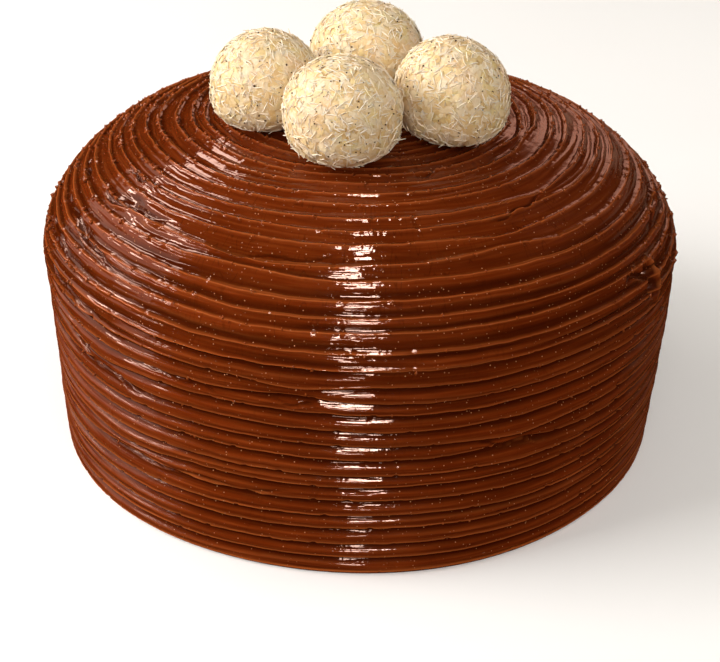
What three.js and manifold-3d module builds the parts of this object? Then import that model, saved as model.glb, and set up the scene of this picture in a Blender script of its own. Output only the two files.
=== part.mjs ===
// An uncut round cake: combed chocolate frosting all over and four cream truffles on top.
// Millimetres, Z up. The origin is the centre of the flat foot, and the front is towards -Y.
import * as THREE from 'three';
import { mergeVertices } from 'three/addons/utils/BufferGeometryUtils.js';
import Module from 'manifold-3d';

// Cake body: a side that widens a little to its widest height, then a soft shoulder and a low dome.
const FOOT_RADIUS = 102.0;
const WIDE_RADIUS = 105.2;
const WIDE_HEIGHT = 71.4;
const CAKE_HEIGHT = 111.0;
const DOME_POWER_R = 4.36;
const DOME_POWER_Z = 1.455;
const FOOT_INSET = 1.3;
const CENTRE_DIP = 0.5;

// Combed ridges, counted up the outside from the foot to the middle of the top.
const RIDGES = 37;
const FIRST_CREST = 1.4;
const LAST_CREST_FROM_AXIS = 3.4;
const GROOVE_DEPTH = 1.35;
const GROOVE_DEPTH_TOP = 1.15;
const SCOOP_AT = 0.42;
const SCOOP_DEPTH = 0.66;
const GROOVE_AT = 0.84;
const PLAIN_SCOOPS_FROM = 31;
const SPACING_JITTER = 0.75;
const CREST_JITTER = 0.18;
const RINGS_OFF_LEFT = 3.6;
const RINGS_OFF_BACK = 4.0;
const SEGMENTS = 40;

// Places where two ridges run together: [degrees from the front, ridge, half width in degrees].
const MERGES = [
  [46, 22, 9], [30, 20, 8], [-42, 5, 8], [-20, 19, 12], [-48, 10, 8], [27, 8, 7],
  [-10, 12, 7], [72, 26, 10], [128, 14, 9], [-135, 23, 10], [168, 7, 9], [-105, 16, 9],
];

// Rough patches: [degrees from the front, distance up the outside, half width, half height, swell].
const PATCHES = [
  [-80, 72, 24, 13, 1.0], [82, 84, 18, 10, 0.8], [-58, 104, 12, 7, 0.3], [-55, 87, 18, 6, 0.4],
  [60, 79, 9, 7, 0.6], [-48, 52, 10, 6, 0.3], [150, 60, 20, 11, 0.5], [-150, 95, 16, 9, 0.4],
  [-44, 6, 24, 24, 1.5], [48, 8, 24, 22, -0.7],
];

// Truffles: a core with a fuller, flatter underside, covered in short shreds.
const TRUFFLES = [
  { name: 'truffle_left', x: -31.2, y: -15.4, radius: 16.9, half: 15.1, taper: 0.05, lean: -0.5 },
  { name: 'truffle_front', x: -6.4, y: -41.2, radius: 17.7, half: 15.8, taper: 0.01, lean: 0.2 },
  { name: 'truffle_back', x: 0.5, y: 8.4, radius: 18.2, half: 16.2, taper: 0.03, lean: 0.0 },
  { name: 'truffle_right', x: 26.9, y: -23.1, radius: 17.7, half: 16.0, taper: 0.06, lean: 0.7 },
];
const TRUFFLE_COLUMNS = 20;
const TRUFFLE_ROWS = 12;
const UNDERSIDE_POWER = 2.7;
const TRUFFLE_UNEVEN = 0.014;
const RESTING_GAP = 0.3;
const SHREDS = 25;
const SHRED_LENGTH = [4.0, 6.6];
const SHRED_WIDTH = [0.7, 1.0];
const SHRED_PROUD = 0.45;
const SHRED_SUNK = 0.75;
const SHRED_LOWEST = -0.62;
const SHRED_CLEARANCE = 0.4;

const TAU = Math.PI * 2;
const rad = THREE.MathUtils.degToRad;

// ---------------------------------------------------------------- cake outline

// The smooth outline through the crests, as points with their distance up the outside.
function makeOutline() {
  const points = [];
  const sideSteps = 60;
  const domeSteps = 400;
  for (let i = 0; i < sideSteps; i += 1) {
    const t = i / sideSteps;
    const r = FOOT_RADIUS + (WIDE_RADIUS - FOOT_RADIUS) * Math.sin((t * Math.PI) / 2);
    points.push({ r, z: WIDE_HEIGHT * t });
  }
  for (let i = 0; i <= domeSteps; i += 1) {
    const t = Math.cos((i / domeSteps) * (Math.PI / 2));
    const rise = Math.pow(1 - Math.pow(t, DOME_POWER_R), 1 / DOME_POWER_Z);
    points.push({ r: WIDE_RADIUS * t, z: WIDE_HEIGHT + (CAKE_HEIGHT - WIDE_HEIGHT) * rise });
  }
  let length = 0;
  points.forEach((p, i) => {
    if (i > 0) length += Math.hypot(p.r - points[i - 1].r, p.z - points[i - 1].z);
    p.s = length;
  });
  return points;
}

const outline = makeOutline();
const OUTLINE_LENGTH = outline[outline.length - 1].s;

// Radius, height and outward direction at a distance up the outside.
function outlineAt(distance) {
  const s = THREE.MathUtils.clamp(distance, 0, OUTLINE_LENGTH);
  let low = 0;
  let high = outline.length - 1;
  while (high - low > 1) {
    const middle = (low + high) >> 1;
    if (outline[middle].s <= s) low = middle;
    else high = middle;
  }
  const a = outline[low];
  const b = outline[high];
  const t = (s - a.s) / (b.s - a.s);
  return {
    r: a.r + (b.r - a.r) * t,
    z: a.z + (b.z - a.z) * t,
    outR: (b.z - a.z) / (b.s - a.s),
    outZ: -(b.r - a.r) / (b.s - a.s),
  };
}

// Height of the smooth dome over a radius.
function domeHeight(radius) {
  const t = Math.min(radius / WIDE_RADIUS, 1);
  const rise = Math.pow(1 - Math.pow(t, DOME_POWER_R), 1 / DOME_POWER_Z);
  return WIDE_HEIGHT + (CAKE_HEIGHT - WIDE_HEIGHT) * rise;
}

// ---------------------------------------------------------------- ridges

// A bell from 0 to 1, over the shorter way round when the difference is an angle.
function bell(difference, halfWidth) {
  const t = difference / halfWidth;
  return Math.exp(-t * t);
}

function aroundFrom(angle, degrees) {
  const d = angle - rad(degrees);
  return d - TAU * Math.round(d / TAU);
}

// Where a crest would lie if the comb had run quite level.
function levelCrest(ridge) {
  const pitch = (OUTLINE_LENGTH - LAST_CREST_FROM_AXIS - FIRST_CREST) / RIDGES;
  const ends = Math.min(ridge, RIDGES - ridge, 3) / 3;
  const jitter = 0.6 * Math.sin(2.4 * ridge + 0.6) + 0.4 * Math.sin(5.1 * ridge + 1.3);
  return FIRST_CREST + pitch * ridge + SPACING_JITTER * ends * jitter;
}

// From 0 to 1 with a level start and end.
function ease(value, from, to) {
  return THREE.MathUtils.smoothstep(value, from, to);
}

// How far the comb wandered up or down round the cake. The rings on the dome are off centre.
function wander(angle, s) {
  const fade = Math.min(s / 14, (OUTLINE_LENGTH - s) / 24, 1);
  const onDome = ease(s, 88, 132) * (1 - ease(s, 150, OUTLINE_LENGTH - 2));
  const offCentre = onDome * (RINGS_OFF_LEFT * Math.sin(angle) + RINGS_OFF_BACK * Math.cos(angle));
  const slow = 0.8 * Math.sin(angle + 0.021 * s + 0.5) + 0.55 * Math.sin(2 * angle - 0.03 * s + 1.9);
  const quick = 0.3 * Math.sin(5 * angle + 0.06 * s) + 0.22 * Math.sin(7 * angle - 0.09 * s + 2.2);
  return fade * (slow + quick) + offCentre;
}

// How strongly the scoop above a ridge is squeezed where two ridges merge.
function squeeze(ridge, angle) {
  let most = 0;
  for (const [degrees, at, halfWidth] of MERGES) {
    if (at === ridge) most = Math.max(most, bell(aroundFrom(angle, degrees), rad(halfWidth)));
  }
  return most;
}

// Distance of a crest up the outside, at an angle measured from the front.
function crestAt(ridge, angle) {
  const level = levelCrest(ridge);
  const above = ridge < RIDGES ? levelCrest(ridge + 1) - level : 0;
  const below = ridge > 0 ? level - levelCrest(ridge - 1) : 0;
  const up = 0.3 * above * squeeze(ridge, angle);
  const down = 0.3 * below * squeeze(ridge - 1, angle);
  return level + up - down + wander(angle, level);
}

// Broad swelling of the frosting, outwards from the outline.
function swell(angle, s) {
  let out = 0.16 * Math.sin(3 * angle + 0.03 * s) + 0.12 * Math.sin(5 * angle - 0.05 * s + 1);
  for (const [degrees, up, halfWidth, halfHeight, amount] of PATCHES) {
    out += amount * bell(aroundFrom(angle, degrees), rad(halfWidth)) * bell(s - up, halfHeight);
  }
  return out * Math.min((OUTLINE_LENGTH - s) / 60, 1);
}

// A crest is a little higher here and lower there.
function crestDrop(ridge, angle) {
  const wave = Math.sin(3 * angle + 1.7 * ridge) + 0.8 * Math.sin(6 * angle + 2.9 * ridge + 1);
  return CREST_JITTER * (0.9 + 0.5 * wave);
}

// Depth under the outline at a share of the way from one crest to the next.
function scoopDepth(share, ridge, angle) {
  const topward = ridge / RIDGES;
  const full = GROOVE_DEPTH + (GROOVE_DEPTH_TOP - GROOVE_DEPTH) * topward;
  const groove = full * (1 - 0.72 * squeeze(ridge, angle));
  if (share === 0) return crestDrop(ridge, angle);
  return share < GROOVE_AT ? groove * SCOOP_DEPTH : groove;
}

// The stations along one section, from the foot to the middle of the top.
function makeStations() {
  const stations = [];
  for (let ridge = 0; ridge < RIDGES; ridge += 1) {
    stations.push({ ridge, share: 0 });
    if (ridge < PLAIN_SCOOPS_FROM) stations.push({ ridge, share: SCOOP_AT });
    stations.push({ ridge, share: GROOVE_AT });
  }
  stations.push({ ridge: RIDGES, share: 0 });
  return stations;
}

function stationPoint({ ridge, share }, angle) {
  const low = crestAt(ridge, angle);
  const high = ridge < RIDGES ? crestAt(ridge + 1, angle) : low;
  const s = low + (high - low) * share;
  const at = outlineAt(s);
  const out = swell(angle, s) - scoopDepth(share, ridge, angle);
  return { r: at.r + at.outR * out, z: at.z + at.outZ * out };
}

function makeCakeGeometry() {
  const stations = makeStations();
  const inner = FOOT_RADIUS - FOOT_INSET;
  const profile = [new THREE.Vector2(0, 0), new THREE.Vector2(inner, 0)];
  stations.forEach((station) => {
    const p = stationPoint(station, 0);
    profile.push(new THREE.Vector2(p.r, p.z));
  });
  profile.push(new THREE.Vector2(0, CAKE_HEIGHT - CENTRE_DIP));
  const geometry = new THREE.LatheGeometry(profile, SEGMENTS);
  const position = geometry.attributes.position;
  const count = profile.length;
  for (let column = 0; column <= SEGMENTS; column += 1) {
    const angle = ((column % SEGMENTS) / SEGMENTS) * TAU;
    for (let row = 0; row < count; row += 1) {
      let p = { r: profile[row].x, z: profile[row].y };
      if (row === 1) p.r += swell(angle, 0);
      if (row > 1 && row < count - 1) p = stationPoint(stations[row - 2], angle);
      const x = p.r * Math.sin(angle);
      const y = -p.r * Math.cos(angle);
      position.setXYZ(column * count + row, x, y, p.z);
    }
  }
  return onlyPositions(geometry);
}

// ---------------------------------------------------------------- truffles

function seededRandom(seed) {
  let state = seed >>> 0;
  return () => {
    state = (state + 0x6d2b79f5) >>> 0;
    let t = state;
    t = Math.imul(t ^ (t >>> 15), t | 1);
    t ^= t + Math.imul(t ^ (t >>> 7), t | 61);
    return ((t ^ (t >>> 14)) >>> 0) / 4294967296;
  };
}

function between([low, high], random) {
  return low + (high - low) * random();
}

// A point of a truffle's core, from its middle, in the direction of a unit vector.
function coreVector(truffle, direction, index) {
  const flat = Math.hypot(direction.x, direction.y);
  const angle = Math.atan2(direction.y, direction.x);
  const power = direction.z < 0 ? UNDERSIDE_POWER : 2;
  let across = Math.pow(flat, 2 / power);
  const up = Math.sign(direction.z) * Math.pow(Math.abs(direction.z), 2 / power);
  across *= 1 - truffle.taper * up;
  const wave = Math.sin(2 * angle + index) + 0.8 * Math.sin(3 * angle + 2 * up + 2.3 * index);
  const uneven = 1 + TRUFFLE_UNEVEN * flat * wave;
  return new THREE.Vector3(
    Math.cos(angle) * across * truffle.radius * uneven - truffle.lean * up,
    Math.sin(angle) * across * truffle.radius * uneven,
    up * truffle.half * (1 + 0.5 * TRUFFLE_UNEVEN * wave * flat),
  );
}

function makeCoreGeometry(truffle, index) {
  const geometry = new THREE.SphereGeometry(1, TRUFFLE_COLUMNS, TRUFFLE_ROWS);
  geometry.rotateX(Math.PI / 2);
  const position = geometry.attributes.position;
  const direction = new THREE.Vector3();
  for (let i = 0; i < position.count; i += 1) {
    direction.fromBufferAttribute(position, i).normalize();
    const p = coreVector(truffle, direction, index);
    position.setXYZ(i, p.x, p.y, p.z);
  }
  return onlyPositions(geometry);
}

// Height of a truffle's middle that leaves the resting gap over the highest frosting under it.
function restingHeight(truffle, geometry) {
  const position = geometry.attributes.position;
  let height = 0;
  for (let i = 0; i < position.count; i += 1) {
    const x = position.getX(i) + truffle.x;
    const y = position.getY(i) + truffle.y;
    const surface = domeHeight(Math.hypot(x, y)) + Math.max(swellOver(x, y), 0);
    height = Math.max(height, surface + RESTING_GAP - position.getZ(i));
  }
  return height;
}

// Swelling of the dome over a point of the top.
function swellOver(x, y) {
  const radius = Math.hypot(x, y);
  return swell(Math.atan2(x, -y), OUTLINE_LENGTH - radius);
}

// True where a point keeps its distance from the cake and from the other truffles.
function isClear(point, own, middles) {
  const surface = domeHeight(Math.hypot(point.x, point.y)) + Math.max(swellOver(point.x, point.y), 0);
  if (point.z < surface + SHRED_CLEARANCE) return false;
  return TRUFFLES.every((other, i) => {
    if (i === own) return true;
    const reach = other.radius * (1 + other.taper) + SHRED_CLEARANCE + SHRED_PROUD;
    const dz = ((point.z - middles[i].z) * reach) / (other.half + SHRED_CLEARANCE + SHRED_PROUD);
    return Math.hypot(point.x - middles[i].x, point.y - middles[i].y, dz) > reach + 0.4;
  });
}

// One straight shred: a thin bar half sunk in the core, tilted a little.
function makeShred(truffle, index, direction, random) {
  const length = between(SHRED_LENGTH, random);
  const width = between(SHRED_WIDTH, random);
  const bar = new THREE.BoxGeometry(length, width, SHRED_PROUD + SHRED_SUNK);
  bar.translate(0, 0, (SHRED_PROUD - SHRED_SUNK) / 2);
  bar.rotateY((random() - 0.5) * 0.16);
  bar.rotateZ(random() * TAU);
  const nudge = new THREE.Vector3(direction.x + 0.01, direction.y, direction.z).normalize();
  const nudgeUp = new THREE.Vector3(direction.x, direction.y + 0.01, direction.z + 0.01).normalize();
  const at = coreVector(truffle, direction, index);
  const alongA = coreVector(truffle, nudge, index).sub(at);
  const alongB = coreVector(truffle, nudgeUp, index).sub(at);
  const normal = alongA.cross(alongB).normalize();
  if (normal.dot(direction) < 0) normal.negate();
  const turn = new THREE.Quaternion().setFromUnitVectors(new THREE.Vector3(0, 0, 1), normal);
  bar.applyQuaternion(turn);
  bar.translate(at.x, at.y, at.z);
  return onlyPositions(bar);
}

// Directions spread evenly over a ball, with a little disorder.
function spreadDirection(i, count, random) {
  const z = 1 - (1 - SHRED_LOWEST) * ((i + 0.3 + 0.4 * random()) / count);
  const angle = i * 2.399963 + 0.5 * random();
  const flat = Math.sqrt(Math.max(0, 1 - z * z));
  return new THREE.Vector3(flat * Math.cos(angle), flat * Math.sin(angle), z);
}

// ---------------------------------------------------------------- solids and meshes

function onlyPositions(geometry) {
  geometry.deleteAttribute('normal');
  geometry.deleteAttribute('uv');
  return mergeVertices(geometry, 1e-4);
}

function toSolid(wasm, geometry) {
  const mesh = new wasm.Mesh({
    numProp: 3,
    vertProperties: new Float32Array(geometry.attributes.position.array),
    triVerts: new Uint32Array(geometry.index.array),
  });
  return new wasm.Manifold(mesh);
}

function fromSolid(solid) {
  const mesh = solid.getMesh();
  const geometry = new THREE.BufferGeometry();
  geometry.setAttribute('position', new THREE.BufferAttribute(mesh.vertProperties, 3));
  geometry.setIndex(new THREE.BufferAttribute(mesh.triVerts, 1));
  return geometry;
}

function makeTruffleGeometry(wasm, truffle, index, core, middles) {
  const random = seededRandom(101 + 17 * index);
  const middle = middles[index];
  let solid = toSolid(wasm, core);
  for (let i = 0; i < SHREDS; i += 1) {
    const direction = spreadDirection(i, SHREDS, random);
    const shred = makeShred(truffle, index, direction, random);
    const position = shred.attributes.position;
    const corner = new THREE.Vector3();
    let clear = true;
    for (let k = 0; k < position.count; k += 1) {
      corner.fromBufferAttribute(position, k).add(middle);
      const outside = corner.distanceTo(middle) > coreVector(truffle, direction, index).length();
      if (outside && !isClear(corner, index, middles)) clear = false;
    }
    if (clear) solid = solid.add(toSolid(wasm, shred));
  }
  return fromSolid(solid);
}

const wasm = await Module();
wasm.setup();

const frostingMaterial = new THREE.MeshStandardMaterial({
  color: 0x54200f,
  roughness: 0.3,
  metalness: 0,
});

const cake = new THREE.Mesh(makeCakeGeometry(), frostingMaterial);
cake.name = 'cake';

const model = new THREE.Group();
model.add(cake);

const cores = TRUFFLES.map((truffle, index) => makeCoreGeometry(truffle, index));
const middles = TRUFFLES.map((truffle, index) => {
  return new THREE.Vector3(truffle.x, truffle.y, restingHeight(truffle, cores[index]));
});

TRUFFLES.forEach((truffle, index) => {
  const material = new THREE.MeshStandardMaterial({ color: 0xe6d8b4, roughness: 0.75, metalness: 0 });
  const geometry = makeTruffleGeometry(wasm, truffle, index, cores[index], middles);
  const mesh = new THREE.Mesh(geometry, material);
  mesh.name = truffle.name;
  mesh.position.copy(middles[index]);
  model.add(mesh);
});

export default model;
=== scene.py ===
"""A round cake with combed chocolate frosting and four cream truffles, dressed over its CAD frame.

Sizes of the cake's form are in millimetres, as in the part's own source, and every mesh is made in metres.
Angles are counted round the cake from its front, and distances up run along its outside from the foot.
"""

import math

import bpy
import numpy as np
from mathutils import Matrix, Vector


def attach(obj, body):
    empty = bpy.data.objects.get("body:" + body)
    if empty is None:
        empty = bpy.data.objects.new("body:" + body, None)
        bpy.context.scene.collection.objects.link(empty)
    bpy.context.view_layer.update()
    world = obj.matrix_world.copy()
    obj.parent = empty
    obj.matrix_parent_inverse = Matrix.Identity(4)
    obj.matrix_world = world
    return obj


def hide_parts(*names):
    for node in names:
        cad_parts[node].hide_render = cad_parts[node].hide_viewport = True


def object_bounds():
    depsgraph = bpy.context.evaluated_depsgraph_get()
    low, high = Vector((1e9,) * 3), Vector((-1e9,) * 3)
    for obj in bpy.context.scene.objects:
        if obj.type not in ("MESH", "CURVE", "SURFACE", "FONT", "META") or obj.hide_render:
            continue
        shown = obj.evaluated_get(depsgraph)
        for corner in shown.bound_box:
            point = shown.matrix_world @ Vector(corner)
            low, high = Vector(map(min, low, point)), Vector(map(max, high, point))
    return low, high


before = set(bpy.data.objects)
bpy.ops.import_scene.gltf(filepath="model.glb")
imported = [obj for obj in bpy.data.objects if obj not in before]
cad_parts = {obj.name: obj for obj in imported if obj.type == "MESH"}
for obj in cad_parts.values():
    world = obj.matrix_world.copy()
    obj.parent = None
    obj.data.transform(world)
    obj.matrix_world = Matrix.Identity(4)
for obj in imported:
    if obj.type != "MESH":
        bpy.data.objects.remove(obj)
cad_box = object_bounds()

MM = 0.001
TAU = 2 * math.pi
BOX_LOW, BOX_HIGH = (np.array(corner) / MM for corner in cad_box)

# ---- the cake's form, as in the part

FOOT_RADIUS, WIDE_RADIUS = 102.0, 105.2
WIDE_HEIGHT, CAKE_HEIGHT = 71.4, 111.0
DOME_POWER_R, DOME_POWER_Z = 4.36, 1.455
FOOT_INSET, CENTRE_DIP = 1.3, 0.5

RIDGES = 37
FIRST_CREST = 1.4
LAST_CREST_FROM_AXIS = 3.4
GROOVE_DEPTH, GROOVE_DEPTH_TOP = 1.35, 1.15
CREST_JITTER, CREST_DROP_EVEN, CREST_DROP_WAVY = 0.18, 0.9, 0.5
RINGS_OFF_LEFT, RINGS_OFF_BACK = 3.6, 4.0
# Distances up between which the dome's rings move off the middle, and where they start to come back.
RINGS_OFF = (88, 132)
RINGS_BACK_FROM, RINGS_BACK_BEFORE_END = 150, 2

# The spacing's jitter, which is less for the ridges at both ends: amount, turn for each ridge, phase.
SPACING_JITTER = 0.75
SPACING_WAVES = [(0.6, 2.4, 0.6), (0.4, 5.1, 1.3)]
STEADY_RIDGES = 3
# Waves round the cake: amount, count, turn for each step up (a millimetre, or a ridge), phase.
SLOW_WANDER = [(0.8, 1, 0.021, 0.5), (0.55, 2, -0.03, 1.9)]
QUICK_WANDER = [(0.3, 5, 0.06, 0), (0.22, 7, -0.09, 2.2)]
SWELL_WAVES = [(0.16, 3, 0.03, 0), (0.12, 5, -0.05, 1)]
CREST_WAVES = [(1, 3, 1.7, 0), (0.8, 6, 2.9, 1)]
# Distances from the foot and the middle over which these fade.
WANDER_FADE_FOOT, WANDER_FADE_MIDDLE, SWELL_FADE_MIDDLE = 14, 24, 60

# Places where two ridges run together: degrees from the front, ridge, half width in degrees.
MERGES = [
    (46, 22, 9), (30, 20, 8), (-42, 5, 8), (-20, 19, 12), (-48, 10, 8), (27, 8, 7),
    (-10, 12, 7), (72, 26, 10), (128, 14, 9), (-135, 23, 10), (168, 7, 9), (-105, 16, 9),
]
# How far each of the two moves, as a share of the spacing, and how much shallower their groove gets.
MERGE_SHIFT, MERGE_FILL = 0.3, 0.72

# Rough patches: degrees from the front, distance up, half width, half height, swell, tear.
PATCHES = [
    (-80, 72, 24, 13, 1.0, 0.9), (82, 84, 18, 10, 0.8, 0.9), (-58, 104, 12, 7, 0.3, 0.9),
    (-55, 87, 18, 6, 0.4, 1.0), (60, 79, 9, 7, 0.6, 1.0), (-48, 52, 10, 6, 0.3, 0.5),
    (150, 60, 20, 11, 0.5, 0.6), (-150, 95, 16, 9, 0.4, 0.6), (-44, 6, 24, 24, 1.5, 0.0),
    (48, 8, 24, 22, -0.7, 0.0),
]

# Truffles: node, place across and back, radius, half height, taper and lean of the core, as in the part.
TRUFFLES = [
    ("truffle_left", -31.2, -15.4, 16.9, 15.1, 0.05, -0.5),
    ("truffle_front", -6.4, -41.2, 17.7, 15.8, 0.01, 0.2),
    ("truffle_back", 0.5, 8.4, 18.2, 16.2, 0.03, 0.0),
    ("truffle_right", 26.9, -23.1, 17.7, 16.0, 0.06, 0.7),
]
UNDERSIDE_POWER = 2.7
TRUFFLE_UNEVEN = 0.014
RESTING_GAP = 0.3

# ---- small tools


def inside_box(points):
    """Which of the points lie in the part's own box."""
    return ((points >= BOX_LOW) & (points <= BOX_HIGH)).all(-1)


def bell(difference, half_width):
    return np.exp(-((difference / half_width) ** 2))


def ease(value, start, end):
    t = np.clip((value - start) / (end - start), 0, 1)
    return t * t * (3 - 2 * t)


def around_from(angle, degrees):
    """The angle from a place given in degrees, at most half a turn either way."""
    d = angle - math.radians(degrees)
    return d - TAU * np.round(d / TAU)


def waves(angle, up, table):
    return sum(amount * np.sin(count * angle + turn * up + phase) for amount, count, turn, phase in table)


def at_angle(angle, radius, height):
    return np.stack([radius * np.sin(angle), -radius * np.cos(angle), height], -1)


def unit(vectors):
    return vectors / np.linalg.norm(vectors, axis=1)[:, None]


def tangents(out):
    """Two unit vectors for each direction, at right angles to it and to each other."""
    helper = np.where(np.abs(out[:, 2:3]) < 0.9, [[0, 0, 1.0]], [[1.0, 0, 0]])
    a = unit(np.cross(out, helper))
    return a, np.cross(out, a)


def turned(a, b, angle):
    """Two vectors at right angles, both turned from the first towards the second."""
    return a * np.cos(angle) + b * np.sin(angle), b * np.cos(angle) - a * np.sin(angle)


LATTICE_GAIN = 1.6


def lattice_noise(u, v, cells_u, cells_v, seed):
    """Gradient noise from about -1 to 1, repeating once round u in 0..1, over v in 0..1."""
    rng = np.random.default_rng(seed)
    angle = rng.uniform(0, TAU, (cells_v + 2, cells_u))
    gx, gy = np.cos(angle), np.sin(angle)
    x = (u % 1.0) * cells_u
    y = np.clip(v, 0, 1) * cells_v
    x0 = np.floor(x).astype(int)
    y0 = np.floor(y).astype(int)
    fx, fy = x - x0, y - y0
    total = np.zeros(np.broadcast(fx, fy).shape)
    wx = fx * fx * fx * (fx * (fx * 6 - 15) + 10)
    wy = fy * fy * fy * (fy * (fy * 6 - 15) + 10)
    for dx in (0, 1):
        for dy in (0, 1):
            col = (x0 + dx) % cells_u
            row = np.clip(y0 + dy, 0, cells_v + 1)
            dot = gx[row, col] * (fx - dx) + gy[row, col] * (fy - dy)
            total += dot * (wx if dx else 1 - wx) * (wy if dy else 1 - wy)
    return total * LATTICE_GAIN


# ---- the cake's smooth form

SIDE_STEPS, DOME_STEPS = 60, 400
SLOPE_STEP = 0.6


def dome_height(share):
    """The smooth dome's height at a share of the widest radius."""
    return WIDE_HEIGHT + (CAKE_HEIGHT - WIDE_HEIGHT) * (1 - share**DOME_POWER_R) ** (1 / DOME_POWER_Z)


def height_over(radius):
    return dome_height(np.minimum(radius / WIDE_RADIUS, 1))


def make_outline():
    """Radius, height and distance along the smooth outline through the crests."""
    t = np.arange(SIDE_STEPS) / SIDE_STEPS
    side = FOOT_RADIUS + (WIDE_RADIUS - FOOT_RADIUS) * np.sin(t * math.pi / 2)
    share = np.cos(np.arange(DOME_STEPS + 1) / DOME_STEPS * math.pi / 2)
    r = np.concatenate([side, WIDE_RADIUS * share])
    z = np.concatenate([WIDE_HEIGHT * t, dome_height(share)])
    s = np.concatenate([[0], np.cumsum(np.hypot(np.diff(r), np.diff(z)))])
    return r, z, s


OUT_R, OUT_Z, OUT_S = make_outline()
OUTLINE_LENGTH = float(OUT_S[-1])


def outline_point(s):
    return np.interp(s, OUT_S, OUT_R), np.interp(s, OUT_S, OUT_Z)


def outline_at(s):
    """Radius, height and outward direction at distances up the outside."""
    s = np.clip(s, 0, OUTLINE_LENGTH)
    low_r, low_z = outline_point(np.clip(s - SLOPE_STEP, 0, None))
    high_r, high_z = outline_point(np.clip(s + SLOPE_STEP, None, OUTLINE_LENGTH))
    dr, dz = high_r - low_r, high_z - low_z
    length = np.hypot(dr, dz)
    return *outline_point(s), dz / length, -dr / length


def level_crest(ridge):
    pitch = (OUTLINE_LENGTH - LAST_CREST_FROM_AXIS - FIRST_CREST) / RIDGES
    ends = min(ridge, RIDGES - ridge, STEADY_RIDGES) / STEADY_RIDGES
    jitter = sum(amount * math.sin(turn * ridge + phase) for amount, turn, phase in SPACING_WAVES)
    return FIRST_CREST + pitch * ridge + SPACING_JITTER * ends * jitter


def wander(angle, s):
    fade = np.minimum(np.minimum(s / WANDER_FADE_FOOT, (OUTLINE_LENGTH - s) / WANDER_FADE_MIDDLE), 1)
    back = ease(s, RINGS_BACK_FROM, OUTLINE_LENGTH - RINGS_BACK_BEFORE_END)
    on_dome = ease(s, *RINGS_OFF) * (1 - back)
    off_centre = on_dome * (RINGS_OFF_LEFT * np.sin(angle) + RINGS_OFF_BACK * np.cos(angle))
    return fade * (waves(angle, s, SLOW_WANDER) + waves(angle, s, QUICK_WANDER)) + off_centre


def squeeze(ridge, angle):
    """How much a ridge and the next one run together, from 0 to 1."""
    most = np.zeros_like(angle)
    for degrees, at, half_width in MERGES:
        if at == ridge:
            most = np.maximum(most, bell(around_from(angle, degrees), math.radians(half_width)))
    return most


def crest_at(ridge, angle):
    level = level_crest(ridge)
    above = level_crest(ridge + 1) - level if ridge < RIDGES else 0
    below = level - level_crest(ridge - 1) if ridge > 0 else 0
    up = MERGE_SHIFT * above * squeeze(ridge, angle)
    down = MERGE_SHIFT * below * squeeze(ridge - 1, angle)
    return level + up - down + wander(angle, level)


def crest_drop(ridge, angle):
    return CREST_JITTER * (CREST_DROP_EVEN + CREST_DROP_WAVY * waves(angle, ridge, CREST_WAVES))


def spot(angle, s, degrees, up, half_width, half_height, lean=0):
    """A bell-shaped spot on the outside, 1 in its middle. Its lean is in millimetres up for each degree."""
    off = around_from(angle, degrees)
    return bell(off, math.radians(half_width)) * bell(s - up - lean * np.degrees(off), half_height)


def swell(angle, s):
    """How far the frosting stands out or in, in slow waves and at the rough patches."""
    out = waves(angle, s, SWELL_WAVES)
    for *place, amount, _ in PATCHES:
        out = out + amount * spot(angle, s, *place)
    return out * np.minimum((OUTLINE_LENGTH - s) / SWELL_FADE_MIDDLE, 1)


def tear(angle, s):
    """How torn the frosting is, from 0 to 1."""
    out = np.zeros_like(angle + s)
    for *place, _, amount in PATCHES:
        out = np.maximum(out, amount * spot(angle, s, *place))
    return out


# ---- tears, blobs and holes

# Tears that cross the ridges: degrees and distance up at both ends, depth and width.
# Above its line each is a slit, and below it the frosting stands up as a sharp lip.
TEARS = [
    (-76, 92, -43, 84, 1.3, 1.5), (-70, 100, -42, 106, 1.5, 1.7), (-80, 83, -56, 79, 1.0, 1.2),
    (-68, 71, -48, 68, 0.8, 1.1), (-60, 56, -37, 50, 1.0, 1.2), (-47, 26, -10, 29, 0.9, 1.0),
    (-66, 112, -50, 115, 0.9, 1.1), (-86, 101, -72, 98, 1.0, 1.2), (-36, 62, -20, 60, 0.5, 0.9),
    (20, 45, 35, 42, 1.1, 1.2), (17, 141, 41, 146, 0.7, 0.9), (-16, 62, -3, 60, 0.8, 1.0),
    (29, 115, 47, 119, 0.8, 1.0), (-30, 102, -4, 106, 0.7, 0.9), (52, 82, 68, 78, 1.4, 1.6),
    (66, 90, 84, 94, 1.0, 1.2), (70, 72, 88, 69, 0.9, 1.1), (56, 62, 72, 60, 0.7, 1.0),
    (110, 66, 138, 60, 1.0, 1.2), (140, 63, 160, 58, 1.1, 1.3), (-164, 96, -138, 91, 1.0, 1.3),
    (-150, 100, -128, 104, 0.8, 1.0), (160, 30, 185, 34, 0.8, 1.0), (-120, 44, -96, 40, 0.8, 1.0),
]
# How a tear's line winds: amount, turn along half of it, and the share of the noise.
TEAR_WINDS, TEAR_TURN, TEAR_STRAYS = 0.7, 7, 0.5
# The share of a tear's depth that is there where the noise is nought.
TEAR_WHOLE = 0.8
# Place over the line and half width, as shares of the tear's width, and the lip's share of its depth.
SLIT_UP, SLIT_WIDTH = 0.55, 0.5
LIP_DOWN, LIP_WIDTH, LIP_HEIGHT = 0.35, 0.35, 0.55
TEARS_DEEPEST, TEARS_HIGHEST = -1.6, 0.9

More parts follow.
